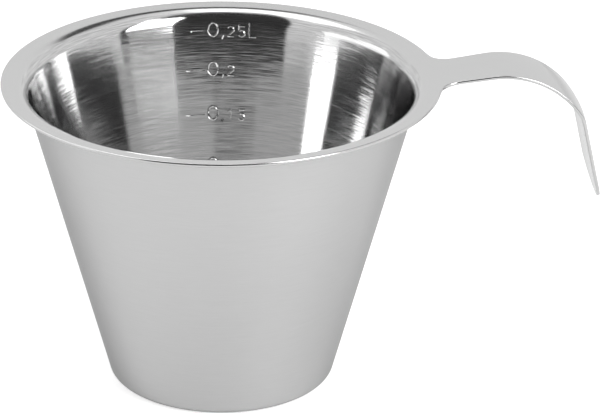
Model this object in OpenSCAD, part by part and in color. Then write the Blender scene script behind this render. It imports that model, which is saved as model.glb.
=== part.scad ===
// Measuring cup of sheet steel: a drawn, tapered cup with a stamped scale inside,
// and a flat rim that runs out into a strap handle, joined by a seam round the mouth.
// Origin on the cup's axis at table level, +Z up, handle towards +X. Millimetres.

/* [Cup] */
// Height of the rim's outer edge above the table
height = 72.5; // [60:0.5:90]
// Outer diameter of the foot, where the wall line meets the table
foot_d = 51.6; // [44:0.2:60]
// Outer radius of the corner between base and wall
corner_r = 2.2; // [1.6:0.1:5]
// Thickness of the sheet
sheet = 0.8; // [0.5:0.05:1.2]

/* [Rim] */
// Outer diameter of the rim
rim_d = 100; // [90:0.5:115]
// Width of the straight part of the rim, seen from above
rim_flat = 2.9; // [1.5:0.1:5]
// Rise of the rim and of the handle's root towards the outside, in degrees
rim_rise = 7.5; // [2:0.5:14]
// Radius of the turn from the rim down into the mouth, on the upper face
mouth_r = 4.2; // [2.5:0.1:6]
// Slope at which the rim's turned inner edge meets the cup, in degrees
seam_slope = 34; // [22:1:55]

/* [Handle] */
// Width of the strap at its root
strap_root_w = 14.5; // [12:0.5:22]
// Width of the strap at its tip
strap_tip_w = 17.6; // [12:0.2:22]
// Length of the straight run from the rim to the crest
strap_run = 11.5; // [6:0.5:20]
// Radius of the crest, on the upper face
crest_r = 21.5; // [12:0.5:28]
// Turn of the crest, in degrees
crest_turn = 65; // [40:1:70]
// Radius of the knee below the crest, on the outer face
knee_r = 7; // [5:0.5:14]
// Turn of the knee, in degrees
knee_turn = 20; // [10:1:28]
// Length of the straight limb from the knee to the tip
limb_len = 21; // [14:0.5:30]
// Radius of the inside corner where the strap leaves the rim
root_fillet = 5; // [2:0.5:9]

/* [Seam] */
// Width of the seam's bead on the underside
weld_w = 1.4; // [0.8:0.1:2]
// Height of the bead
weld_h = 0.3; // [0.15:0.05:0.5]

/* [Scale] */
// Turn of the scale from the handle, in degrees
scale_turn = 85.5; // [0:0.5:180]
// Height of the leading figure
figure_h = 3.8; // [2.5:0.1:5]
// Height of the figures after the comma
decimal_h = 2.9; // [2:0.1:4]
// Width of the pressed lines
stroke = 0.35; // [0.2:0.05:0.6]
// Depth of the pressed lines
stroke_depth = 0.15; // [0.08:0.01:0.25]
// Length of the level line beside each label
level_line = 4.5; // [2:0.1:8]
// Gap between the level line and the label, and between figures
figure_gap = 0.6; // [0.3:0.1:1.2]
// Distance from the scale's middle back to the start of its labels
label_back = 3.7; // [0:0.1:8]

/* [Hidden] */
$fn = 160;

// Volumes marked inside, in litres, and their labels
marks = [[0.25, "0,25L"], [0.2, "0,2"], [0.15, "0,15"], [0.1, "0,1"], [0.05, "0,05"]];
// Largest angle between two points of a turn
turn_step = 4;
// Width of a figure and of the comma, as shares of their height
figure_share = 0.68;
comma_share = 0.3;
// The 1: reach of its flag and height of the flag's foot, as shares of the height
flag_reach = 0.22;
flag_foot = 0.72;
// The 2: where its bow begins, and where it runs out into the slant
bow_lip = 170;
bow_tail = -35;
// The 5: radius of its belly and height of its stem's foot, as shares of the height, and the belly's ends
belly_share = 0.32;
stem_foot = 0.5;
belly_end = 140;
// The 5: where its stem stands, as a share of the width
stem_share = 0.2;
// The L: length of its foot, as a share of the width
foot_share = 0.8;
// The comma: half its lean, and half its drop, as shares of the height
comma_lean = 0.06;
comma_drop = 0.12;

rim_r = rim_d / 2;
foot_r = foot_d / 2;

// Point at a distance and angle from another point
function polar(origin, r, angle) = origin + r * [cos(angle), sin(angle)];

// Points along a turn about a centre, from one angle to another
function turn(centre, r, from, to) =
    let (steps = ceil(abs(to - from) / turn_step))
    [for (i = [0 : steps]) polar(centre, r, from + (to - from) * i / steps)];

// Section of the rim: end of its straight part and centre of the turn into the mouth
flat_end = [rim_r - rim_flat, height - rim_flat * tan(rim_rise)];
mouth_c = polar(flat_end, mouth_r, rim_rise - 90);
under_r = mouth_r - sheet;

// The wall's outer line leaves the foot and is tangent to the turn's underside
foot_to_mouth = mouth_c - [foot_r, 0];
wall_angle = atan2(foot_to_mouth[0], foot_to_mouth[1]) - asin(under_r / norm(foot_to_mouth));
wall_face = 180 - wall_angle;
seam_face = 90 + seam_slope;
corner_c = [foot_r + corner_r * (tan(wall_angle) - 1 / cos(wall_angle)), corner_r];

// Inner radius of the wall at a height, and the height up to which the cup holds a volume
function inner_r(z) = foot_r + z * tan(wall_angle) - sheet / cos(wall_angle);
function inner_z(r) = (r - inner_r(0)) / tan(wall_angle);
function level(litres) =
    inner_z(pow(pow(inner_r(sheet), 3) + 3 * tan(wall_angle) * litres * 1e6 / PI, 1 / 3));

// Side profile of the strap: ends of the run, centres of its turns, and the limb's slope
run_end = [rim_r, height] + strap_run * [cos(rim_rise), sin(rim_rise)];
crest_c = polar(run_end, crest_r, rim_rise - 90);
crest_from = 90 + rim_rise;
crest_to = crest_from - crest_turn;
crest_end = polar(crest_c, crest_r, crest_to);
knee_c = polar(crest_end, -knee_r, crest_to);
knee_to = crest_to - knee_turn;
knee_end = polar(knee_c, knee_r, knee_to);
limb_dir = knee_to - 90;
limb_end = polar(knee_end, limb_len, limb_dir);
tip_r = strap_tip_w / 2;
reach = limb_end[0];

// Plan of the strap: its edge line and the centre of the root's inside corner
edge_turn = atan2((strap_root_w - strap_tip_w) / 2, reach - rim_r);
edge_out = [sin(edge_turn), cos(edge_turn)];
edge_along = [cos(edge_turn), -sin(edge_turn)];
edge_dist = edge_out * [rim_r, strap_root_w / 2];
fillet_side = edge_dist + root_fillet;
fillet_c = fillet_side * edge_out + sqrt(pow(rim_r + root_fillet, 2) - pow(fillet_side, 2)) * edge_along;
fillet_turn = atan2(fillet_c[1], fillet_c[0]);

// Half section of the cup, up the outside to the seam and down the inside
module cup_section() {
    polygon(concat(
        [[0, 0]],
        turn(corner_c, corner_r, -90, -wall_angle),
        turn(mouth_c, under_r, wall_face, seam_face),
        turn(mouth_c, mouth_r, seam_face, wall_face),
        turn(corner_c, corner_r - sheet, -wall_angle, -90),
        [[0, sheet]]
    ));
}

// Half section of the rim and the strap, out along the upper face and back along the lower one
module rim_section() {
    past_tip = polar(limb_end, tip_r, limb_dir);
    polygon(concat(
        turn(mouth_c, mouth_r, seam_face, crest_from),
        turn(crest_c, crest_r, crest_from, crest_to),
        turn(knee_c, knee_r, crest_to, knee_to),
        [past_tip, polar(past_tip, -sheet, knee_to)],
        turn(knee_c, knee_r - sheet, knee_to, crest_to),
        turn(crest_c, crest_r - sheet, crest_to, crest_from),
        turn(mouth_c, under_r, crest_from, seam_face)
    ));
}

// Half section of the bead: along the sheet's underside and back over its own round face
module weld_section() {
    bead_r = (pow(weld_w / 2, 2) + pow(weld_h, 2)) / (2 * weld_h);
    seat_turn = asin(weld_w / 2 / under_r);
    bead_turn = asin(weld_w / 2 / bead_r);
    bead_c = polar(mouth_c, under_r * cos(seat_turn) - weld_h + bead_r, seam_face);
    face = turn(bead_c, bead_r, seam_face + 180 - bead_turn, seam_face + 180 + bead_turn);
    polygon(concat(
        turn(mouth_c, under_r, seam_face - seat_turn, seam_face + seat_turn),
        [for (i = [1 : len(face) - 2]) face[i]]
    ));
}

// What is cut away round the rim and beside the strap, seen from above
module blank_waste() {
    past_tip = reach + tip_r;
    tip_half = strap_root_w / 2 - (past_tip - rim_r) * tan(edge_turn);
    half = concat(turn(fillet_c, root_fillet, 180 + fillet_turn, 270 - edge_turn), [[past_tip, tip_half]]);
    difference() {
        circle(2 * reach);
        circle(rim_r);
        polygon(concat([[0, 0]], half, [for (i = [len(half) - 1 : -1 : 0]) [half[i][0], -half[i][1]]]));
    }
}

// What is cut away round the strap's tip, seen along the handle
module tip_waste() {
    round_z = limb_end[1] + tip_r;
    difference() {
        translate([-rim_d, round_z - 3 * tip_r])
            square([2 * rim_d, 3 * tip_r]);
        translate([0, round_z])
            circle(tip_r);
    }
}

// Straight pressed line between two points
module bar(from, to) {
    run = to - from;
    translate(from)
        rotate(atan2(run[1], run[0]))
            translate([0, -stroke / 2])
                square([norm(run), stroke]);
}

// Round pressed line about a centre, between two angles
module bow(centre, r, from, to) {
    far = 2 * r;
    middle = (from + to) / 2;
    translate(centre)
        intersection() {
            difference() {
                circle(r);
                circle(r - stroke);
            }
            polygon([[0, 0], polar([0, 0], far, from), polar([0, 0], far, (from + middle) / 2),
                     polar([0, 0], far, middle), polar([0, 0], far, (middle + to) / 2),
                     polar([0, 0], far, to)]);
        }
}

// Upright shape with round ends
module slot(w, h) {
    for (end = [w / 2, h - w / 2])
        translate([w / 2, end])
            circle(w / 2);
    translate([0, w / 2])
        square([w, h - w]);
}

function figure_w(h) = figure_share * h;

// One sign of a label, h high and standing on its lower left corner
module sign(name, h) {
    w = figure_w(h);
    r = w / 2;
    line = stroke / 2;
    if (name == "0") {
        difference() {
            slot(w, h);
            translate([stroke, stroke])
                slot(w - 2 * stroke, h - 2 * stroke);
        }
    }
    if (name == "1") {
        bar([r, 0], [r, h]);
        bar([r - flag_reach * h, flag_foot * h], [r, h - line]);
    }
    if (name == "2") {
        bow([r, h - r], r, bow_tail, bow_lip);
        bar([line, line], polar([r, h - r], r - line, bow_tail));
        bar([0, line], [w, line]);
    }
    if (name == "5") {
        belly_r = belly_share * h;
        stem_x = stem_share * w;
        bar([stem_x - line, h - line], [w, h - line]);
        bar([stem_x, stem_foot * h], [stem_x, h]);
        bow([w - belly_r, belly_r], belly_r, -belly_end, belly_end);
    }
    if (name == "L") {
        bar([line, 0], [line, h]);
        bar([0, line], [foot_share * w, line]);
    }
    if (name == ",") {
        middle = comma_share * h / 2;
        bar([middle - comma_lean * h, -comma_drop * h], [middle + comma_lean * h, comma_drop * h]);
    }
}

// Width that a sign takes up in its label
function sign_w(name, h) = name == "," ? comma_share * h : figure_w(h);

// Height of a sign: the first figure and the unit are tall, the rest are decimals
function sign_h(label, i) = i == 0 || label[i] == "L" ? figure_h : decimal_h;

// Distance from the start of a label to its sign number i
function sign_start(label, i) =
    i == 0 ? 0 : sign_start(label, i - 1) + sign_w(label[i - 1], sign_h(label, i - 1)) + figure_gap;

// Places a flat drawing on the inner wall, a distance to the right of the scale's middle
module on_wall(z, along) {
    r = inner_r(z);
    rotate(scale_turn - 90 - along / r * 180 / PI)
        translate([0, r, z])
            rotate([90 - wall_angle, 0, 0])
                children();
}

// Level line of one mark, pressed along the wall
module level_groove(z, along) {
    r = inner_r(z);
    sweep = level_line / r * 180 / PI;
    rotate(scale_turn - along / r * 180 / PI - sweep)
        rotate_extrude(angle = sweep)
            translate([r, z])
                rotate(-wall_angle)
                    square([2 * stroke_depth, stroke], center = true);
}

// All pressed marks of the scale, as the shapes that they take out of the wall
module scale_marks() {
    for (mark = marks) {
        z = level(mark[0]);
        label = mark[1];
        level_groove(z, -label_back - figure_gap - level_line);
        for (i = [0 : len(label) - 1]) {
            h = sign_h(label, i);
            w = sign_w(label[i], h);
            on_wall(z, sign_start(label, i) + w / 2 - label_back)
                translate([-w / 2, -figure_h / 2])
                    linear_extrude(2 * stroke_depth, center = true)
                        sign(label[i], h);
        }
    }
}

// Drawn cup with its turned mouth and the stamped scale
module cup() {
    color("silver")
        difference() {
            rotate_extrude()
                cup_section();
            scale_marks();
        }
}

// Rim and handle, cut from one blank and formed
module rim_handle() {
    color("lightgray")
        difference() {
            rotate_extrude()
                rim_section();
            linear_extrude(2 * height)
                blank_waste();
            rotate([90, 0, 90])
                linear_extrude(2 * reach)
                    tip_waste();
        }
}

// Bead of the seam, on the underside of the joint round the mouth
module rim_weld() {
    color("gray")
        rotate_extrude()
            weld_section();
}

cup();
rim_handle();
rim_weld();
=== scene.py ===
"""Measuring cup of steel sheet: brushed cup with a pressed litre scale, satin rim with a strap handle."""

import logging
import math
from contextlib import contextmanager
from dataclasses import dataclass
from enum import Enum
from typing import Callable, Iterator, Sequence

import bmesh
import bpy
from mathutils import Matrix, Vector


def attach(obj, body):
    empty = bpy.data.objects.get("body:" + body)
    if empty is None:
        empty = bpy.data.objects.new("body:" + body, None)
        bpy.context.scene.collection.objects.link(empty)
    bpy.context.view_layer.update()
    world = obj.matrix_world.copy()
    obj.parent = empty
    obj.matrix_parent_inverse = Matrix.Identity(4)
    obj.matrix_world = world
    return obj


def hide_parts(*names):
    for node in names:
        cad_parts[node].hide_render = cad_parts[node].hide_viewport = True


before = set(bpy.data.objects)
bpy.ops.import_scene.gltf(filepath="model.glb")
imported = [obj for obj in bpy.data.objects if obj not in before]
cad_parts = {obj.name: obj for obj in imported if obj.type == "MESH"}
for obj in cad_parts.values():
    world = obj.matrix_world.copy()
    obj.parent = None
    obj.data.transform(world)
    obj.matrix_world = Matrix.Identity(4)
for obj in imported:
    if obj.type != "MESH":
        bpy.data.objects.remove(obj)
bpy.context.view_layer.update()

LOG = logging.getLogger("measuring_cup")
MM = 0.001
CUBIC_MM_PER_LITRE = 1e6
BODY = "root"
WELD_DISTANCE = 1e-7
RIM_SLACK = 1e-6
TURN_SLACK = 1e-4
NOISE_SPREAD = (0.3, 0.7)
QUARTER_TURN = 0.25

Flat = tuple[float, float]
Span = tuple[float, float]
Place = tuple[float, float, float]
Colour = tuple[float, float, float, float]

ORIGIN: Place = (0.0, 0.0, 0.0)
UP: Place = (0.0, 0.0, 1.0)


def polar(centre: Flat, radius: float, angle: float) -> Flat:
    """Finds the point at a distance and an angle from another one.

    Args:
        centre: the point to measure from, in millimetres.
        radius: the distance, in millimetres.
        angle: the direction, in degrees.

    Returns:
        The point, in millimetres.
    """
    turn = math.radians(angle)
    return centre[0] + radius * math.cos(turn), centre[1] + radius * math.sin(turn)


def arc(centre: Flat, radius: float, start: float, end: float, steps: int) -> list[Flat]:
    """Lists the points of a round turn.

    Args:
        centre: the turn's centre, in millimetres.
        radius: its radius, in millimetres.
        start: the angle of its first point, in degrees.
        end: the angle of its last point, in degrees.
        steps: how many straight steps it takes.

    Returns:
        The points, both ends included.
    """
    return [polar(centre, radius, start + (end - start) * i / steps) for i in range(steps + 1)]


def stretch(start: Flat, end: Flat, steps: int) -> list[Flat]:
    """Lists the points inside a straight line, without its two ends.

    Args:
        start: one end, in millimetres.
        end: the other end.
        steps: how many equal parts the line has.

    Returns:
        The points between the ends.
    """
    parts = [i / steps for i in range(1, steps)]
    return [(start[0] + (end[0] - start[0]) * t, start[1] + (end[1] - start[1]) * t) for t in parts]


@dataclass(frozen=True)
class SheetForm:
    """The section of cup and rim, as (distance from the axis, height), in millimetres and degrees."""

    height: float = 72.5
    foot_d: float = 51.6
    corner_r: float = 2.2
    sheet: float = 0.8
    rim_d: float = 100.0
    rim_flat: float = 2.9
    rim_rise: float = 7.5
    mouth_r: float = 4.2
    seam_slope: float = 34.0

    @property
    def rim_r(self) -> float:
        """Outer radius of the rim."""
        return self.rim_d / 2

    @property
    def flat_end(self) -> Flat:
        """Inner end of the rim's straight part, on the upper face."""
        drop = self.rim_flat * math.tan(math.radians(self.rim_rise))
        return self.rim_r - self.rim_flat, self.height - drop

    @property
    def mouth_c(self) -> Flat:
        """Centre of the turn from the rim into the mouth."""
        return polar(self.flat_end, self.mouth_r, self.rim_rise - 90)

    @property
    def under_r(self) -> float:
        """Radius of that turn on the underside."""
        return self.mouth_r - self.sheet

    @property
    def wall_angle(self) -> float:
        """Works out the wall's lean: its outer line leaves the foot and touches the turn's underside.

        Returns:
            The lean from the upright, in degrees.
        """
        across = self.mouth_c[0] - self.foot_d / 2
        up = self.mouth_c[1]
        lean = math.atan2(across, up) - math.asin(self.under_r / math.hypot(across, up))
        return math.degrees(lean)

    @property
    def wall_face(self) -> float:
        """Angle at which the wall meets the turn."""
        return 180 - self.wall_angle

    @property
    def seam_face(self) -> float:
        """Angle of the seam on the turn."""
        return 90 + self.seam_slope

    @property
    def rim_face(self) -> float:
        """Angle at which the rim's straight part meets the turn."""
        return 90 + self.rim_rise

    @property
    def corner_c(self) -> Flat:
        """Centre of the round corner between base and wall."""
        lean = math.radians(self.wall_angle)
        return self.foot_d / 2 + self.corner_r * (math.tan(lean) - 1 / math.cos(lean)), self.corner_r

    def inner_r(self, z: float) -> float:
        """Gives the inner radius of the wall at a height."""
        lean = math.radians(self.wall_angle)
        return self.foot_d / 2 + z * math.tan(lean) - self.sheet / math.cos(lean)

    def level(self, litres: float) -> float:
        """Finds how high a volume stands in the cup.

        Args:
            litres: the volume.

        Returns:
            The height of its surface above the table, in millimetres.
        """
        slope = math.tan(math.radians(self.wall_angle))
        volume = litres * CUBIC_MM_PER_LITRE
        surface_r = (self.inner_r(self.sheet) ** 3 + 3 * slope * volume / math.pi) ** (1 / 3)
        return (surface_r - self.inner_r(0)) / slope


def clear_selection() -> None:
    """Leaves object mode with nothing selected."""
    if bpy.context.object is not None and bpy.context.object.mode != "OBJECT":
        bpy.ops.object.mode_set(mode="OBJECT")
    bpy.ops.object.select_all(action="DESELECT")


def pick(piece: bpy.types.Object) -> None:
    """Selects one piece alone and makes it the active one.

    Args:
        piece: the piece.
    """
    clear_selection()
    piece.select_set(True)
    bpy.context.view_layer.objects.active = piece


@contextmanager
def editing(piece: bpy.types.Object) -> Iterator[None]:
    """Opens a piece in edit mode with all of it selected, and closes it again.

    Args:
        piece: the mesh object to edit.

    Yields:
        Nothing, while the piece is open.
    """
    pick(piece)
    bpy.ops.object.mode_set(mode="EDIT")
    bpy.ops.mesh.select_mode(type="VERT")
    bpy.ops.mesh.select_all(action="SELECT")
    yield
    bpy.ops.object.mode_set(mode="OBJECT")


def draw_line(name: str, points: Sequence[Place]) -> bpy.types.Object:
    """Draws a line of edges by extruding one vertex from point to point.

    Args:
        name: the name of the new piece.
        points: the points of the line, in metres.

    Returns:
        The new mesh object, which holds only edges.
    """
    clear_selection()
    bpy.ops.mesh.primitive_plane_add(size=MM)
    piece = bpy.context.active_object
    piece.name = name
    piece.data.name = name
    with editing(piece):
        bpy.ops.mesh.merge(type="CENTER")
        bpy.ops.transform.translate(value=points[0])
        for start, end in zip(points, points[1:]):
            way = Vector(end) - Vector(start)
            bpy.ops.mesh.extrude_vertices_move(TRANSFORM_OT_translate={"value": way})
    return piece


def at_turn(point: Flat, turn: float = 0.0) -> Place:
    """Places a point of a section in space.

    Args:
        point: distance from the axis and height, in millimetres.
        turn: the angle round the axis from the handle, in degrees.

    Returns:
        The place, in metres.
    """
    angle = math.radians(turn)
    return point[0] * math.cos(angle) * MM, point[0] * math.sin(angle) * MM, point[1] * MM


def close_mesh() -> None:
    """Merges the doubles of the mesh that is open in edit mode and turns its faces outwards."""
    bpy.ops.mesh.select_all(action="SELECT")
    bpy.ops.mesh.remove_doubles(threshold=WELD_DISTANCE)
    bpy.ops.mesh.normals_make_consistent(inside=False)


def spin_round(piece: bpy.types.Object, steps: int) -> None:
    """Spins a section once round the cup's axis into a closed body.

    Args:
        piece: the mesh that holds the section.
        steps: how many columns of faces the body gets.
    """
    with editing(piece):
        bpy.ops.mesh.spin(steps=steps, angle=math.tau, center=ORIGIN, axis=UP)
        close_mesh()


def select_faces(piece: bpy.types.Object, wanted: Callable[[bmesh.types.BMFace], bool]) -> None:
    """Selects the faces of the open mesh that pass a test, and no others.

    Args:
        piece: the mesh object that is open in edit mode.
        wanted: the test for one face.
    """
    bpy.ops.mesh.select_mode(type="FACE")
    bpy.ops.mesh.select_all(action="DESELECT")
    mesh = bmesh.from_edit_mesh(piece.data)
    for face in mesh.faces:
        face.select_set(wanted(face))
    bmesh.update_edit_mesh(piece.data)


def smooth(piece: bpy.types.Object, degrees: float) -> None:
    """Shades a piece smooth, but for edges sharper than an angle."""
    pick(piece)
    bpy.ops.object.shade_smooth_by_angle(angle=math.radians(degrees))


def grey(level: float) -> Colour:
    """Gives a grey as a colour."""
    return level, level, level, 1.0


class Finish(Enum):
    """The finishes that a surface of the cup can have."""

    # The inside's material has a darker grey than the outside's: painted shade inside the cup.
    INSIDE = "brushed_inside_painted_shade"
    OUTSIDE = "brushed_outside"
    PRESSED = "pressed_scale"
    SATIN = "satin_rim"
    BEAD = "weld_bead"


class NodeBench:
    """Adds and joins the nodes of one material or world."""

    def __init__(self, owner: bpy.types.ID, shader: str = "Principled BSDF") -> None:
        """Opens the nodes of a new material or world.

        Args:
            owner: the material or the world.
            shader: the name of the shader node that it starts with.
        """
        owner.use_nodes = True
        self.owner = owner
        self.tree = owner.node_tree
        self.shader = self.tree.nodes[shader]

    def add(self, kind: str, **settings: object) -> bpy.types.Node:
        """Adds a node.

        Args:
            kind: the node's type.
            settings: its properties by name.

        Returns:
            The new node.
        """
        node = self.tree.nodes.new(kind)
        for key, value in settings.items():
            setattr(node, key, value)
        return node

    def join(self, source: bpy.types.NodeSocket, target: bpy.types.NodeSocket) -> None:
        """Links an output to an input."""
        self.tree.links.new(source, target)

    def math(self, operation: str, first: object, second: object) -> bpy.types.NodeSocket:
        """Adds one sum.

        Args:
            operation: the name of the sum.
            first: a socket or a number.
            second: a socket or a number.

        Returns:
            The socket that holds its result.
        """
        node = self.add("ShaderNodeMath", operation=operation)
        for socket, value in zip(node.inputs, (first, second)):
            if isinstance(value, bpy.types.NodeSocket):
                self.join(value, socket)
            else:
                socket.default_value = value
        return node.outputs[0]

    def vector(self, operation: str, *values: bpy.types.NodeSocket) -> bpy.types.NodeSocket:
        """Adds one sum of vectors.

        Args:
            operation: the name of the sum.
            values: the sockets that it takes.

        Returns:
            The socket that holds its result.
        """
        node = self.add("ShaderNodeVectorMath", operation=operation)
        for socket, value in zip(node.inputs, values):
            self.join(value, socket)
        return node.outputs["Vector"]

    def step(self, source: bpy.types.NodeSocket, start: float, end: float) -> bpy.types.NodeSocket:
        """Eases from 0 to 1 over a range.

        Args:
            source: the value to follow.
            start: where the result is still 0.
            end: where it is 1; it may lie below the start.

        Returns:
            The socket that holds the result.
        """
        node = self.add("ShaderNodeMapRange", interpolation_type="SMOOTHSTEP")
        self.join(source, node.inputs["Value"])
        node.inputs["From Min"].default_value = start
        node.inputs["From Max"].default_value = end
        return node.outputs["Result"]

    def swing(self, pattern: bpy.types.NodeSocket, middle: float, reach: float) -> bpy.types.NodeSocket:
        """Makes a value that a pattern takes up and down.

        Args:
            pattern: the pattern, about 0 to 1.
            middle: the value's middle.
            reach: how far the pattern takes it either way.

        Returns:
            The socket that holds the value.
        """
        node = self.add("ShaderNodeMapRange")
        self.join(pattern, node.inputs["Value"])
        ends = (*NOISE_SPREAD, middle - reach, middle + reach)
        for key, value in zip(("From Min", "From Max", "To Min", "To Max"), ends):
            node.inputs[key].default_value = value
        return node.outputs["Result"]


@dataclass(frozen=True)
class Steel:
    """What the finishes of the bare steel have in common."""

    colour: float = 0.62
    edge_tint: float = 0.9
    tone_swing: float = 0.015
    roughness: float = 0.17
    roughness_swing: float = 0.02

    def coat(self, bench: NodeBench, pattern: bpy.types.NodeSocket) -> None:
        """Makes the shader a metal whose grey and roughness follow a pattern.

        Args:
            bench: the material's nodes.
            pattern: the pattern, about 0 to 1.
        """
        inputs = bench.shader.inputs
        inputs["Metallic"].default_value = 1.0
        inputs["Specular Tint"].default_value = grey(self.edge_tint)
        bench.join(bench.swing(pattern, self.roughness, self.roughness_swing), inputs["Roughness"])
        level = bench.swing(pattern, self.colour, self.tone_swing)
        colour = bench.add("ShaderNodeCombineColor")
        for socket in colour.inputs:
            bench.join(level, socket)
        bench.join(colour.outputs[0], inputs["Base Color"])


@dataclass(frozen=True)
class BrushedSteel(Steel):
    """Steel brushed round the axis, in millimetres: each fine line leans the surface up or down."""

    # This default grey is used only by the cup's inside and sits below the outside's 0.62: painted shade for
    # the inside of the cup.
    colour: float = 0.57
    edge_tint: float = 1.0
    tone_swing: float = 0.1
    roughness: float = 0.11
    anisotropy: float = 0.95
    line_pitch: float = 0.24
    line_length: float = 6.0
    line_lean: float = 0.042
    streak_pitch: float = 0.8
    streak_length: float = 24.0
    streak_lean: float = 0.012
    line_detail: float = 2.0
    line_breakup: float = 0.6

    def material(self, name: str) -> bpy.types.Material:
        """Makes the material.

        Args:
            name: its name.

        Returns:
            The material.
        """
        bench = NodeBench(bpy.data.materials.new(name))
        lines = self.lines(bench, self.line_pitch, self.line_length)
        streaks = self.lines(bench, self.streak_pitch, self.streak_length)
        self.coat(bench, lines)
        inputs = bench.shader.inputs
        inputs["Anisotropic"].default_value = self.anisotropy
        inputs["Anisotropic Rotation"].default_value = QUARTER_TURN
        around = bench.add("ShaderNodeTangent", direction_type="RADIAL", axis="Z").outputs[0]
        bench.join(around, inputs["Tangent"])
        line_lean = bench.swing(lines, 0.0, self.line_lean)
        streak_lean = bench.swing(streaks, 0.0, self.streak_lean)
        lean = bench.math("ADD", line_lean, streak_lean)
        outward = bench.add("ShaderNodeNewGeometry").outputs["Normal"]
        across = bench.vector("CROSS_PRODUCT", outward, around)
        leaning = bench.add("ShaderNodeVectorMath", operation="SCALE")
        bench.join(across, leaning.inputs[0])
        bench.join(lean, leaning.inputs["Scale"])
        tilted = bench.vector("NORMALIZE", bench.vector("ADD", outward, leaning.outputs[0]))
        bench.join(tilted, inputs["Normal"])
        return bench.owner

    def lines(self, bench: NodeBench, pitch: float, length: float) -> bpy.types.NodeSocket:
        """Lays brush lines: a noise drawn out along circles round the axis.

        Args:
            bench: the material's nodes.
            pitch: the width of a line, in millimetres.
            length: its length, in millimetres.

        Returns:
            The socket of the pattern, about 0 to 1.
        """
        place = bench.add("ShaderNodeTexCoord").outputs["Object"]
        parts = bench.add("ShaderNodeSeparateXYZ")
        bench.join(place, parts.inputs[0])
        x, y, z = parts.outputs
        squares = bench.math("ADD", bench.math("MULTIPLY", x, x), bench.math("MULTIPLY", y, y))
        along = bench.math("ADD", bench.math("SQRT", squares, 0.0), z)
        drawn = bench.add("ShaderNodeCombineXYZ")
        scales = (1 / (length * MM), 1 / (length * MM), 1 / (pitch * MM))
        for source, scale, socket in zip((x, y, along), scales, drawn.inputs):
            bench.join(bench.math("MULTIPLY", source, scale), socket)
        noise = bench.add("ShaderNodeTexNoise", noise_dimensions="3D")
        noise.inputs["Scale"].default_value = 1.0
        noise.inputs["Detail"].default_value = self.line_detail
        noise.inputs["Roughness"].default_value = self.line_breakup
        bench.join(drawn.outputs[0], noise.inputs["Vector"])
        return noise.outputs["Fac"]


@dataclass(frozen=True)
class SatinSteel(Steel):
    """Even satin steel with a fine grain, sized in millimetres."""

    grain: float = 0.3
    grain_depth: float = 0.0006
    grain_strength: float = 0.3
    grain_detail: float = 2.0

    def material(self, name: str) -> bpy.types.Material:
        """Makes the material.

        Args:
            name: its name.

        Returns:
            The material.
        """
        bench = NodeBench(bpy.data.materials.new(name))
        place = bench.add("ShaderNodeTexCoord")
        noise = bench.add("ShaderNodeTexNoise", noise_dimensions="3D")
        noise.inputs["Scale"].default_value = 1 / (self.grain * MM)
        noise.inputs["Detail"].default_value = self.grain_detail
        bench.join(place.outputs["Object"], noise.inputs["Vector"])
        grain = noise.outputs["Fac"]
        self.coat(bench, grain)
        bump = bench.add("ShaderNodeBump")
        bump.inputs["Strength"].default_value = self.grain_strength
        bump.inputs["Distance"].default_value = self.grain_depth * MM
        bench.join(grain, bump.inputs["Height"])
        bench.join(bump.outputs[0], bench.shader.inputs["Normal"])
        return bench.owner


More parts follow.
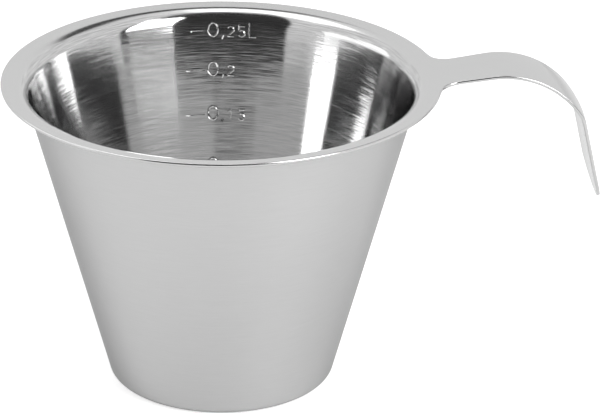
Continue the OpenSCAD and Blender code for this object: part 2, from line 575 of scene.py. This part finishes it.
@dataclass
class Cup:
    """The drawn cup with the scale pressed into its inner wall, in millimetres and degrees."""

    form: SheetForm
    columns: int = 240
    corner_steps: int = 10
    mouth_steps: int = 10
    outer_rows: int = 10
    inner_rows: int = 24
    scale_turn: float = 85.5
    figure_h: float = 3.8
    decimal_h: float = 3.0
    zero_share: float = 0.75
    figure_share: float = 0.70
    letter_share: float = 0.58
    comma_share: float = 0.25
    comma_top: Flat = (0.65, 0.14)
    comma_tail: Flat = (0.15, -0.16)
    flag_back: float = 0.25
    flag_foot: float = 0.72
    two_bow: Span = (165.0, -38.0)
    five_bow: Span = (140.0, -140.0)
    belly_share: float = 0.60
    pen_steps: int = 14
    stroke: float = 0.55
    stroke_depth: float = 0.27
    upright_share: float = 0.37
    tool_rise: float = 0.06
    line_bright: float = 1.1
    line_step: float = 0.2
    line_share: float = 0.2
    level_line: float = 4.5
    figure_gap: float = 0.5
    label_back: float = 3.7
    label_lift: float = 0.45
    marks: tuple[tuple[float, str, float], ...] = (
        (0.25, "0,25L", 0.05),
        (0.2, "0,2", 0.3),
        (0.15, "0,15", 0.3),
        (0.1, "0,1", 0.3),
        (0.05, "0,05", 0.3),
    )
    least_sunk: float = 0.005
    smooth_angle: float = 10.0
    outside: BrushedSteel = BrushedSteel(
        colour=0.62,
        edge_tint=0.6,
        tone_swing=0.012,
        roughness=0.32,
        anisotropy=0.7,
        line_lean=0.006,
        streak_lean=0.002,
    )
    # The inside keeps the darker default grey: painted shade inside the cup, on a real brushed finish.
    inside: BrushedSteel = BrushedSteel()
    pressed: SatinSteel = SatinSteel(roughness=0.2)

    def build(self) -> bpy.types.Object:
        """Makes the cup.

        Returns:
            The finished piece.
        """
        piece = draw_line("cup_body", [at_turn(p) for p in self.section()])
        spin_round(piece, self.columns)
        self.press_scale(piece)
        smooth(piece, self.smooth_angle)
        self.dress(piece)
        return piece

    def section(self) -> list[Flat]:
        """Draws the half section, from the axis up the outside to the seam and down the inside.

        Returns:
            Its points, in millimetres.
        """
        form = self.form
        lean = form.wall_angle
        outer_foot = arc(form.corner_c, form.corner_r, -90, -lean, self.corner_steps)
        outer_mouth = arc(form.mouth_c, form.under_r, form.wall_face, form.seam_face, self.mouth_steps)
        inner_mouth = arc(form.mouth_c, form.mouth_r, form.seam_face, form.wall_face, self.mouth_steps)
        inner_foot = arc(form.corner_c, form.corner_r - form.sheet, -lean, -90, self.corner_steps)
        return [
            (0.0, 0.0),
            *outer_foot,
            *stretch(outer_foot[-1], outer_mouth[0], self.outer_rows),
            *outer_mouth,
            *inner_mouth,
            *stretch(inner_mouth[-1], inner_foot[0], self.inner_rows),
            *inner_foot,
            (0.0, form.sheet),
        ]

    def press_scale(self, piece: bpy.types.Object) -> None:
        """Presses the level lines and labels into the inner wall.

        Args:
            piece: the cup without its scale.
        """
        for tools in self.scale_lines():
            clear_selection()
            for tool in tools:
                tool.select_set(True)
            bpy.context.view_layer.objects.active = tools[0]
            bpy.ops.object.join()
            die = bpy.context.active_object
            with editing(die):
                close_mesh()
            pick(piece)
            bpy.ops.object.modifier_add(type="BOOLEAN")
            press = piece.modifiers[-1]
            press.operation = "DIFFERENCE"
            press.solver = "EXACT"
            press.object = die
            bpy.ops.object.modifier_apply(modifier=press.name)
            bpy.data.objects.remove(die)

    def scale_lines(self) -> tuple[list[bpy.types.Object], list[bpy.types.Object]]:
        """Makes the tools that press the whole scale.

        Returns:
            The tools of the first die and those of the second, so that no two tools of a die cross.
        """
        dies: tuple[list[bpy.types.Object], list[bpy.types.Object]] = ([], [])
        for litres, label, start_share in self.marks:
            z = self.form.level(litres)
            end = -self.label_back - self.figure_gap
            first = end - self.level_line
            bright = first + self.line_bright
            level = [(s, 0.0) for s in (first, bright, bright + self.line_step, end)]
            shares = (start_share, start_share, self.line_share, self.line_share)
            dies[0].append(self.wedge(z, level, [self.stroke_depth * share for share in shares]))
            start = -self.label_back
            for i, name in enumerate(label):
                tall = i == 0 or name == "L"
                h = self.figure_h if tall else self.decimal_h
                w = self.sign_w(name, h)
                for die, stroke in zip(dies, self.sign(name, w, h)):
                    line = [(start + x, y - self.figure_h / 2 + self.label_lift) for x, y in stroke]
                    die.append(self.wedge(z, line, [self.stroke_depth] * len(line)))
                start += w + self.figure_gap
        return dies

    def on_wall(self, z: float, point: Flat, depth: float) -> Place:
        """Wraps a point of a drawing round the inner wall.

        Args:
            z: the height of the drawing's level, in millimetres.
            point: distance to the right of the scale's middle, and up the wall from the level.
            depth: distance below the wall's surface.

        Returns:
            The place, in metres.
        """
        lean = math.radians(self.form.wall_angle)
        height = z + point[1] * math.cos(lean)
        r = self.form.inner_r(height)
        turn = self.scale_turn - math.degrees(point[0] / r)
        return at_turn((r + depth * math.cos(lean), height - depth * math.sin(lean)), turn)

    def wedge(self, z: float, line: Sequence[Flat], depths: Sequence[float]) -> bpy.types.Object:
        """Makes the wedge-shaped tool that presses one line.

        Args:
            z: the height of the drawing's level, in millimetres.
            line: the points of the line; a closed line ends where it starts.
            depths: how deep the tool's edge goes at each point.

        Returns:
            The tool, a closed body that stands a little out of the wall.
        """
        closed = math.dist(line[0], line[-1]) < WELD_DISTANCE
        half = self.stroke / 2 * (1 + self.tool_rise / self.stroke_depth)
        sides = [self.side(line, i, closed) for i in range(len(line))]
        shares = [self.depth_share(n) for n in sides]
        edge = [self.on_wall(z, p, d * s) for p, d, s in zip(line, depths, shares)]
        rows = [edge]
        for way in (half, -half):
            moved = [(p[0] + way * n[0], p[1] + way * n[1]) for p, n in zip(line, sides)]
            rows.append([self.on_wall(z, p, -self.tool_rise) for p in moved])
        rows.append(edge)
        tool = draw_line("scale_tool", edge)
        with editing(tool):
            bpy.ops.mesh.remove_doubles(threshold=WELD_DISTANCE)
            for row, following in zip(rows, rows[1:]):
                bpy.ops.mesh.extrude_edges_move(TRANSFORM_OT_translate={"value": ORIGIN})
                mesh = bmesh.from_edit_mesh(tool.data)
                for vertex in (v for v in mesh.verts if v.select):
                    nearest = min(range(len(row)), key=lambda i: math.dist(row[i], vertex.co))
                    vertex.co = following[nearest]
                bmesh.update_edit_mesh(tool.data)
            bpy.ops.mesh.select_all(action="SELECT")
            bpy.ops.mesh.remove_doubles(threshold=WELD_DISTANCE)
            bpy.ops.mesh.fill_holes(sides=3)
        return tool

    def depth_share(self, side: Flat) -> float:
        """Gives the share of the depth that a line goes to, least where it runs up the wall."""
        return self.upright_share + (1 - self.upright_share) * abs(side[1]) / math.hypot(*side)

    def side(self, line: Sequence[Flat], i: int, closed: bool) -> Flat:
        """Finds the sideways direction of a line at one of its points, mitred between its two parts.

        Args:
            line: the points of the line.
            i: the number of the point.
            closed: whether the line ends where it starts.

        Returns:
            The direction, longer than 1 where the line turns.
        """
        last = len(line) - 1
        before = line[last - 1] if closed and i == 0 else line[max(i - 1, 0)]
        after = line[1] if closed and i == last else line[min(i + 1, last)]
        ways = [Vector(line[i]) - Vector(before), Vector(after) - Vector(line[i])]
        ways = [way.normalized() for way in ways if way.length > WELD_DISTANCE]
        mean = sum(ways, Vector((0.0, 0.0))).normalized()
        reach = 1 / mean.dot(ways[0])
        return -mean.y * reach, mean.x * reach

    def sign_w(self, name: str, h: float) -> float:
        """Gives the width that a sign takes up in its label."""
        shares = {"0": self.zero_share, ",": self.comma_share, "L": self.letter_share}
        return shares.get(name, self.figure_share) * h

    def sign(self, name: str, w: float, h: float) -> list[list[Flat]]:
        """Draws one sign of a label as pen lines.

        Args:
            name: the sign.
            w: its width, in millimetres.
            h: its height, in millimetres.

        Returns:
            Its lines, in millimetres from its lower left corner.
        """
        pen = self.stroke / 2
        left, right, foot, top = pen, w - pen, pen, h - pen
        r = (right - left) / 2
        middle = w / 2
        if name == "0":
            steps = 2 * self.pen_steps
            turns = [math.tau * i / steps for i in range(steps + 1)]
            return [[(middle + r * math.cos(t), h / 2 + (h / 2 - pen) * math.sin(t)) for t in turns]]
        if name == "1":
            flag = (middle - self.flag_back * h, self.flag_foot * h)
            return [[(middle, top), (middle, foot)], [flag, (middle, top)]]
        if name == "2":
            bow = arc((middle, top - r), r, *self.two_bow, self.pen_steps)
            return [[*bow, (left, foot)], [(left, foot), (right, foot)]]
        if name == "5":
            belly = (self.belly_share * h - pen) / 2
            bow = arc((right - belly, foot + belly), belly, *self.five_bow, self.pen_steps)
            return [[(right, top), (bow[0][0], top), bow[0]], bow]
        if name == "L":
            return [[(left, top), (left, foot)], [(left, foot), (right, foot)]]
        return [[(across * w, up * h) for across, up in (self.comma_top, self.comma_tail)]]

    def dress(self, piece: bpy.types.Object) -> None:
        """Gives the outside, the inside and the pressed lines their own finish; the inside's brushing is
        real, its darker grey is painted shade.

        Args:
            piece: the cup.
        """
        finishes = {
            Finish.OUTSIDE: self.outside,
            Finish.INSIDE: self.inside,
            Finish.PRESSED: self.pressed,
        }
        for finish, steel in finishes.items():
            piece.data.materials.append(steel.material(finish.value))
        with editing(piece):
            for slot, wanted in enumerate((self.is_inside, self.is_pressed), start=1):
                select_faces(piece, wanted)
                piece.active_material_index = slot
                bpy.ops.object.material_slot_assign()

    def in_section(self, face: bmesh.types.BMFace) -> Flat:
        """Gives a face's middle as distance from the axis and height, in millimetres."""
        place = face.calc_center_median()
        return math.hypot(place.x, place.y) / MM, place.z / MM

    def is_pressed(self, face: bmesh.types.BMFace) -> bool:
        """Tells whether a face lies in a pressed line, below the surface of the inner wall.

        Args:
            face: the face.

        Returns:
            True for the faces of the scale.
        """
        form = self.form
        r, z = self.in_section(face)
        sunk = r - form.inner_r(z)
        return self.least_sunk < sunk < form.sheet / 2 and form.corner_r < z < form.mouth_c[1]

    def is_inside(self, face: bmesh.types.BMFace) -> bool:
        """Tells whether a face belongs to the cup's inside.

        Args:
            face: the face.

        Returns:
            True for the inner wall, the inner base and the upper face of the mouth's turn.
        """
        form = self.form
        half_sheet = form.sheet / 2
        r, z = self.in_section(face)
        if z > form.mouth_c[1]:
            return math.dist((r, z), form.mouth_c) > form.mouth_r - half_sheet
        if z < form.corner_r:
            past_base = max(r - form.corner_c[0], 0.0)
            return math.hypot(past_base, z - form.corner_c[1]) < form.corner_r - half_sheet
        return r < form.inner_r(z) + half_sheet / math.cos(math.radians(form.wall_angle))


@dataclass
class RimHandle:
    """The satin rim and the strap handle, one blank of sheet, in millimetres and degrees."""

    form: SheetForm
    strap_root_w: float = 14.5
    strap_tip_w: float = 17.6
    strap_run: float = 11.5
    crest_r: float = 21.5
    crest_turn: float = 65.0
    knee_r: float = 7.0
    knee_turn: float = 20.0
    limb_len: float = 21.0
    root_fillet: float = 5.0
    edge_round: float = 0.3
    edge_steps: int = 4
    cut_angle: float = 50.0
    strap_columns: int = 24
    ring_columns: int = 300
    mouth_steps: int = 10
    flat_steps: int = 4
    root_rows: tuple[float, ...] = (0.02, 0.08, 0.2, 0.4, 0.7, 1.1, 1.6, 2.2, 2.9, 3.7, 4.6)
    run_steps: int = 5
    crest_steps: int = 30
    knee_steps: int = 12
    limb_steps: int = 6
    tip_step: int = 10
    smooth_angle: float = 40.0
    finish: SatinSteel = SatinSteel()

    def build(self) -> bpy.types.Object:
        """Makes the rim with its handle.

        Returns:
            The finished piece.
        """
        turn = self.fillet_turn
        piece = draw_line("rim_and_handle", [at_turn(p, turn) for p in self.ring_section()])
        with editing(piece):
            for columns, angle in ((self.strap_columns, 2 * turn), (self.ring_columns, 360 - 2 * turn)):
                bpy.ops.mesh.spin(steps=columns, angle=math.radians(angle), center=ORIGIN, axis=UP)
            bpy.ops.mesh.select_all(action="SELECT")
            bpy.ops.mesh.remove_doubles(threshold=WELD_DISTANCE)
            self.draw_out_strap(piece)
            close_mesh()
            self.face_up(piece)
        self.thicken(piece)
        self.break_edges(piece)
        smooth(piece, self.smooth_angle)
        piece.data.materials.append(self.finish.material(Finish.SATIN.value))
        return piece

    @property
    def edge_turn(self) -> float:
        """Lean of the strap's edge towards its middle line, in degrees."""
        taper = (self.strap_root_w - self.strap_tip_w) / 2
        return math.degrees(math.atan2(taper, self.limb_end[0] - self.form.rim_r))

    @property
    def edge_dist(self) -> float:
        """Distance of the strap's edge line from the cup's axis, seen from above."""
        turn = math.radians(self.edge_turn)
        return self.form.rim_r * math.sin(turn) + self.strap_root_w / 2 * math.cos(turn)

    @property
    def fillet_turn(self) -> float:
        """Angle from the handle at which the inside corner leaves the rim."""
        reach = self.form.rim_r + self.root_fillet
        return 90 - self.edge_turn - math.degrees(math.acos((self.edge_dist + self.root_fillet) / reach))

    @property
    def run_end(self) -> Flat:
        """End of the straight run, on the upper face."""
        return polar((self.form.rim_r, self.form.height), self.strap_run, self.form.rim_rise)

    @property
    def crest_c(self) -> Flat:
        """Centre of the crest's turn."""
        return polar(self.run_end, self.crest_r, self.form.rim_rise - 90)

    @property
    def crest_to(self) -> float:
        """Angle at which the crest ends and the knee begins."""
        return self.form.rim_face - self.crest_turn

    @property
    def knee_c(self) -> Flat:
        """Centre of the knee's turn."""
        return polar(self.crest_c, self.crest_r - self.knee_r, self.crest_to)

    @property
    def knee_to(self) -> float:
        """Angle at which the knee ends and the limb begins."""
        return self.crest_to - self.knee_turn

    @property
    def limb_end(self) -> Flat:
        """Lowest point of the tip, on the outer face."""
        return polar(polar(self.knee_c, self.knee_r, self.knee_to), self.limb_len, self.knee_to - 90)

    def ring_section(self) -> list[Flat]:
        """Draws the rim's upper face, from the seam out to its edge.

        Returns:
            Its points, in millimetres.
        """
        form = self.form
        turned = arc(form.mouth_c, form.mouth_r, form.seam_face, form.rim_face, self.mouth_steps)
        edge = (form.rim_r, form.height)
        return [*turned, *stretch(turned[-1], edge, self.flat_steps), edge]

    def strap_line(self) -> list[Flat]:
        """Draws the strap's upper face along its middle, from the rim's edge to the tip.

        Returns:
            Its points, in millimetres, close together where the inside corners need them.
        """
        form = self.form
        start = (form.rim_r, form.height)
        run = [polar(start, s, form.rim_rise) for s in self.root_rows]
        run += stretch(run[-1], self.run_end, self.run_steps)
        crest = arc(self.crest_c, self.crest_r, form.rim_face, self.crest_to, self.crest_steps)
        knee = arc(self.knee_c, self.knee_r, self.crest_to, self.knee_to, self.knee_steps)
        limb_start, limb_end = knee[-1], self.limb_end
        tip_r = self.strap_tip_w / 2
        slope = (limb_end[0] - limb_start[0]) / (limb_end[1] - limb_start[1])
        rises = [tip_r * (1 - math.sin(math.radians(a))) for a in range(0, 90 + 1, self.tip_step)]
        tip = [(limb_end[0] + slope * rise, limb_end[1] + rise) for rise in rises]
        return [*run, *crest, *knee[1:], *stretch(limb_start, tip[0], self.limb_steps), *tip]

    def half_turn(self, point: Flat) -> float:
        """Finds how far round the axis the strap's edge is from its middle.

        Args:
            point: a point of the strap's middle line, in millimetres.

        Returns:
            The angle, in degrees.
        """
        r, z = point
        reach = self.form.rim_r + self.root_fillet
        past = (r * r + reach * reach - self.root_fillet**2) / (2 * r * reach)
        straight = 90 - self.edge_turn - math.degrees(math.acos(self.edge_dist / r))
        touch = math.sqrt(reach**2 - (self.edge_dist + self.root_fillet) ** 2)
        if r < math.hypot(self.edge_dist, touch):
            return self.fillet_turn - math.degrees(math.acos(min(past, 1.0)))
        tip_r = self.strap_tip_w / 2
        below = self.limb_end[1] + tip_r - z
        if below <= 0:
            return straight
        half_w = math.sqrt(max(tip_r**2 - below**2, 0.0))
        return min(straight, math.degrees(math.asin(half_w / r)))

    def draw_out_strap(self, piece: bpy.types.Object) -> None:
        """Extrudes the strap row by row from the rim's edge.

        Args:
            piece: the rim, open in edit mode.
        """
        edge_r = self.form.rim_r * MM
        limit = math.radians(self.fillet_turn) + TURN_SLACK
        bpy.ops.mesh.select_mode(type="EDGE")
        bpy.ops.mesh.select_all(action="DESELECT")
        mesh = bmesh.from_edit_mesh(piece.data)
        for edge in mesh.edges:
            on_edge = all(abs(math.hypot(v.co.x, v.co.y) - edge_r) < RIM_SLACK for v in edge.verts)
            near_strap = all(abs(math.atan2(v.co.y, v.co.x)) < limit for v in edge.verts)
            edge.select_set(on_edge and near_strap)
        bmesh.update_edit_mesh(piece.data)
        for point in self.strap_line():
            bpy.ops.mesh.extrude_edges_move(TRANSFORM_OT_translate={"value": (MM, 0, 0)})
            mesh = bmesh.from_edit_mesh(piece.data)
            row = sorted((v for v in mesh.verts if v.select), key=lambda v: v.co.y)
            half = self.half_turn(point)
            for i, vertex in enumerate(row):
                vertex.co = at_turn(point, half * (2 * i / (len(row) - 1) - 1))
            bmesh.update_edit_mesh(piece.data)

    def face_up(self, piece: bpy.types.Object) -> None:
        """Turns the faces of the open sheet so that the rim's look up.

        Args:
            piece: the sheet, open in edit mode.
        """
        mesh = bmesh.from_edit_mesh(piece.data)
        farthest = min(mesh.faces, key=lambda face: face.calc_center_median().x)
        if farthest.normal.z < 0:
            bpy.ops.mesh.select_all(action="SELECT")
            bpy.ops.mesh.flip_normals()

    def thicken(self, piece: bpy.types.Object) -> None:
        """Gives the sheet its thickness, below the upper face.

        Args:
            piece: the sheet.
        """
        pick(piece)
        bpy.ops.object.modifier_add(type="SOLIDIFY")
        wall = piece.modifiers[-1]
        wall.thickness = self.form.sheet * MM
        wall.offset = -1.0
        wall.use_even_offset = True
        wall.use_quality_normals = True
        bpy.ops.object.modifier_apply(modifier=wall.name)

    def break_edges(self, piece: bpy.types.Object) -> None:
        """Rounds the cut edges of rim and strap, and leaves the seam's edge square.

        Args:
            piece: the thickened sheet.
        """
        seam_r = (self.form.rim_r - self.form.rim_flat) * MM
        with editing(piece):
            close_mesh()
            bpy.ops.mesh.select_mode(type="EDGE")
            bpy.ops.mesh.select_all(action="DESELECT")
            bpy.ops.mesh.edges_select_sharp(sharpness=math.radians(self.cut_angle))
            mesh = bmesh.from_edit_mesh(piece.data)
            for edge in mesh.edges:
                if edge.select and any(math.hypot(v.co.x, v.co.y) < seam_r for v in edge.verts):
                    edge.select_set(False)
            bmesh.update_edit_mesh(piece.data)
            bpy.ops.mesh.bevel(
                offset=self.edge_round * MM, segments=self.edge_steps, profile=0.5, affect="EDGES"
            )


@dataclass
class SeamBead:
    """The bead of the seam, on the underside round the mouth, in millimetres and degrees."""

    form: SheetForm
    width: float = 1.4
    rise: float = 0.3
    columns: int = 240
    steps: int = 8
    smooth_angle: float = 40.0
    finish: SatinSteel = SatinSteel(colour=0.55, roughness=0.28, grain=0.8)

    def build(self) -> bpy.types.Object:
        """Makes the bead.

        Returns:
            The finished piece.
        """
        piece = draw_line("seam_bead", [at_turn(p) for p in self.section()])
        spin_round(piece, self.columns)
        smooth(piece, self.smooth_angle)
        piece.data.materials.append(self.finish.material(Finish.BEAD.value))
        return piece

    def section(self) -> list[Flat]:
        """Draws the bead's closed section: along the sheet and back over its round face.

        Returns:
            Its points, in millimetres; the last is the first again.
        """
        form = self.form
        half = self.width / 2
        bead_r = (half**2 + self.rise**2) / (2 * self.rise)
        seat = math.degrees(math.asin(half / form.under_r))
        swell = math.degrees(math.asin(half / bead_r))
        reach = form.under_r * math.cos(math.radians(seat)) - self.rise + bead_r
        middle = polar(form.mouth_c, reach, form.seam_face)
        back = form.seam_face + 180
        along = arc(form.mouth_c, form.under_r, form.seam_face - seat, form.seam_face + seat, self.steps)
        over = arc(middle, bead_r, back - swell, back + swell, self.steps)
        return [*along, *over[1:-1], along[0]]


@dataclass
class Softbox:
    """One area lamp of the studio, in metres, turned towards a point."""

    name: str
    place: Place
    width: float
    length: float
    glow: float
    aim: Place

    def hang(self) -> None:
        """Hangs the lamp, unseen by the camera."""
        clear_selection()
        bpy.ops.object.light_add(type="AREA", location=self.place)
        lamp = bpy.context.active_object
        lamp.name = self.name
        lamp.data.shape = "RECTANGLE"
        lamp.data.size = self.width
        lamp.data.size_y = self.length
        lamp.data.energy = self.glow * math.pi * self.width * self.length
        lamp.visible_camera = False
        way = Vector(self.aim) - Vector(self.place)
        lamp.rotation_euler = way.to_track_quat("-Z", "Y").to_euler()


@dataclass
class Studio:
    """Floor, lamps, room and camera, in metres and degrees; sensor in millimetres, image in pixels."""

    floor_size: float = 6.0
    floor_colour: float = 0.7
    floor_roughness: float = 0.9
    floor_glow: float = 0.62
    floor_mirror_glow: float = 0.22
    dark_left: float = -36.0
    dark_lean: float = 0.35
    dark_right: float = 62.0
    soft_edge: float = 3.0
    gap_turn: float = 162.0
    gap_half: float = 32.0
    gap_from: float = 40.0
    gap_to: float = 60.0
    gap_lower_edge: float = 2.0
    gap_upper_edge: float = 4.0
    side_glow: float = 0.9
    dark_glow: float = 0.05
    camera_turn: float = -94.2
    camera_away: float = 0.750
    camera_height: float = 0.37095
    camera_pitch: float = 23.77
    focal_px: float = 3555.0
    image_w: float = 600.0
    axis_px: float = 221.6
    sensor: float = 36.0

    def build(self) -> None:
        """Sets up the whole studio."""
        self.lay_floor()
        self.hang_lamps()
        self.surround()
        self.place_camera()
        bpy.context.scene.view_settings.view_transform = "Standard"

    def toward(self, right: float, away: float, height: float) -> Place:
        """Finds a place by its direction from the cup, as the camera sees it.

        Args:
            right: degrees to the right of the line from cup to camera.
            away: distance from the axis, in metres.
            height: height above the floor, in metres.

        Returns:
            The place, in metres.
        """
        angle = math.radians(self.camera_turn + right)
        return away * math.cos(angle), away * math.sin(angle), height

    def lay_floor(self) -> None:
        """Lays the pale floor, which shows white and keeps a soft shadow."""
        clear_selection()
        bpy.ops.mesh.primitive_plane_add(size=self.floor_size)
        floor = bpy.context.active_object
        floor.name = "floor"
        bench = NodeBench(bpy.data.materials.new("floor_pale"))
        bench.shader.inputs["Base Color"].default_value = grey(self.floor_colour)
        bench.shader.inputs["Roughness"].default_value = self.floor_roughness
        rays = bench.add("ShaderNodeLightPath")
        seen = bench.math("MULTIPLY", rays.outputs["Is Camera Ray"], self.floor_glow)
        mirrored = bench.math("MULTIPLY", rays.outputs["Is Glossy Ray"], self.floor_mirror_glow)
        bench.join(bench.math("ADD", seen, mirrored), bench.shader.inputs["Emission Strength"])
        bench.shader.inputs["Emission Color"].default_value = grey(1.0)
        floor.data.materials.append(bench.owner)

    def hang_lamps(self) -> None:
        """Hangs a softbox overhead, a tall one in front on the right and a low one on the left."""
        Softbox(
            name="softbox_overhead",
            place=(-0.25, 0.335, 1.12),
            width=0.75,
            length=0.63,
            glow=1.5,
            aim=(-0.25, 0.3349, 0.0),
        ).hang()
        Softbox(
            name="softbox_right",
            place=self.toward(right=45.5, away=1.0, height=1.02),
            width=0.54,
            length=1.40,
            glow=7.0,
            aim=(0.0, 0.0, 1.02),
        ).hang()
        Softbox(
            name="softbox_left",
            place=self.toward(right=-92.0, away=1.1, height=0.42),
            width=1.1,
            length=0.45,
            glow=0.9,
            aim=(0.0, 0.0, 0.42),
        ).hang()

    def surround(self) -> None:
        """Makes the room: pale, dark behind the camera and in a gap high at the back, white to the camera."""
        world = bpy.data.worlds.new("studio_room")
        bpy.context.scene.world = world
        bench = NodeBench(world, "Background")
        way = bench.add("ShaderNodeTexCoord").outputs["Generated"]
        rights = (0.0, 90.0, self.gap_turn, self.gap_turn + 90.0)
        axes = [*(self.toward(right, 1.0, 0.0) for right in rights), UP]
        to_front, to_right, to_gap, past_gap, up = (self.along(bench, way, axis) for axis in axes)
        turn = bench.math("ARCTAN2", to_right, to_front)
        leaning = bench.math("ADD", to_front, bench.math("MULTIPLY", up, self.dark_lean))
        left_turn = bench.math("ARCTAN2", to_right, leaning)
        left_side = bench.step(left_turn, *self.radians(self.dark_left, -self.soft_edge))
        right_side = bench.step(turn, *self.radians(self.dark_right, self.soft_edge))
        off_gap = bench.math("ABSOLUTE", bench.math("ARCTAN2", past_gap, to_gap), 0.0)
        back = bench.step(off_gap, *self.radians(self.gap_half, -2 * self.soft_edge))
        gap = bench.math(
            "MULTIPLY",
            bench.step(up, *(math.sin(a) for a in self.radians(self.gap_from, self.gap_lower_edge))),
            bench.step(up, *(math.sin(a) for a in self.radians(self.gap_to, -self.gap_upper_edge))),
        )
        sides = bench.math("MULTIPLY", bench.math("MAXIMUM", left_side, right_side), self.side_glow)
        open_back = bench.math("SUBTRACT", 1.0, bench.math("MULTIPLY", gap, back))
        room = bench.math("ADD", bench.math("MULTIPLY", sides, open_back), self.dark_glow)
        rays = bench.add("ShaderNodeLightPath")
        shown = bench.math("MAXIMUM", room, rays.outputs["Is Camera Ray"])
        bench.join(shown, bench.shader.inputs["Strength"])
        bench.shader.inputs["Color"].default_value = grey(1.0)

    def along(self, bench: NodeBench, way: bpy.types.NodeSocket, axis: Place) -> bpy.types.NodeSocket:
        """Measures how far a direction of the room goes along an axis.

        Args:
            bench: the world's nodes.
            way: the socket of the direction.
            axis: the axis, one metre long.

        Returns:
            The socket that holds the distance.
        """
        node = bench.add("ShaderNodeVectorMath", operation="DOT_PRODUCT")
        bench.join(way, node.inputs[0])
        node.inputs[1].default_value = axis
        return node.outputs["Value"]

    def radians(self, start: float, width: float) -> Span:
        """Gives a range of degrees in radians."""
        return math.radians(start), math.radians(start + width)

    def place_camera(self) -> None:
        """Stands the camera where the photograph was taken from."""
        clear_selection()
        place = Vector(self.toward(0.0, self.camera_away, self.camera_height))
        pitch = math.radians(self.camera_pitch)
        inward = Vector((-place.x, -place.y, 0.0)).normalized()
        ahead = inward * math.cos(pitch) - Vector(UP) * math.sin(pitch)
        across = ahead.cross(Vector(UP)).normalized()
        above = across.cross(ahead)
        aim = (ahead + across * (self.image_w / 2 - self.axis_px) / self.focal_px).normalized()
        side = aim.cross(above)
        bpy.ops.object.camera_add(location=place)
        camera = bpy.context.active_object
        camera.rotation_euler = Matrix((side, above, -aim)).transposed().to_euler()
        camera.data.sensor_width = self.sensor
        camera.data.lens = self.focal_px * self.sensor / self.image_w
        bpy.context.scene.camera = camera


def settle(piece: bpy.types.Object, node: str) -> None:
    """Ties a finished piece to the frame.

    Args:
        piece: the piece.
        node: the node that it stands for.
    """
    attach(piece, BODY)
    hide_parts(node)
    LOG.info("%s: %d faces", piece.name, len(piece.data.polygons))


def main() -> None:
    """Builds the cup's pieces and the studio in order."""
    logging.basicConfig(level=logging.INFO)
    form = SheetForm()
    settle(Cup(form).build(), "cup")
    settle(RimHandle(form).build(), "rim_handle")
    settle(SeamBead(form).build(), "rim_weld")
    Studio().build()


if __name__ == "__main__":
    main()
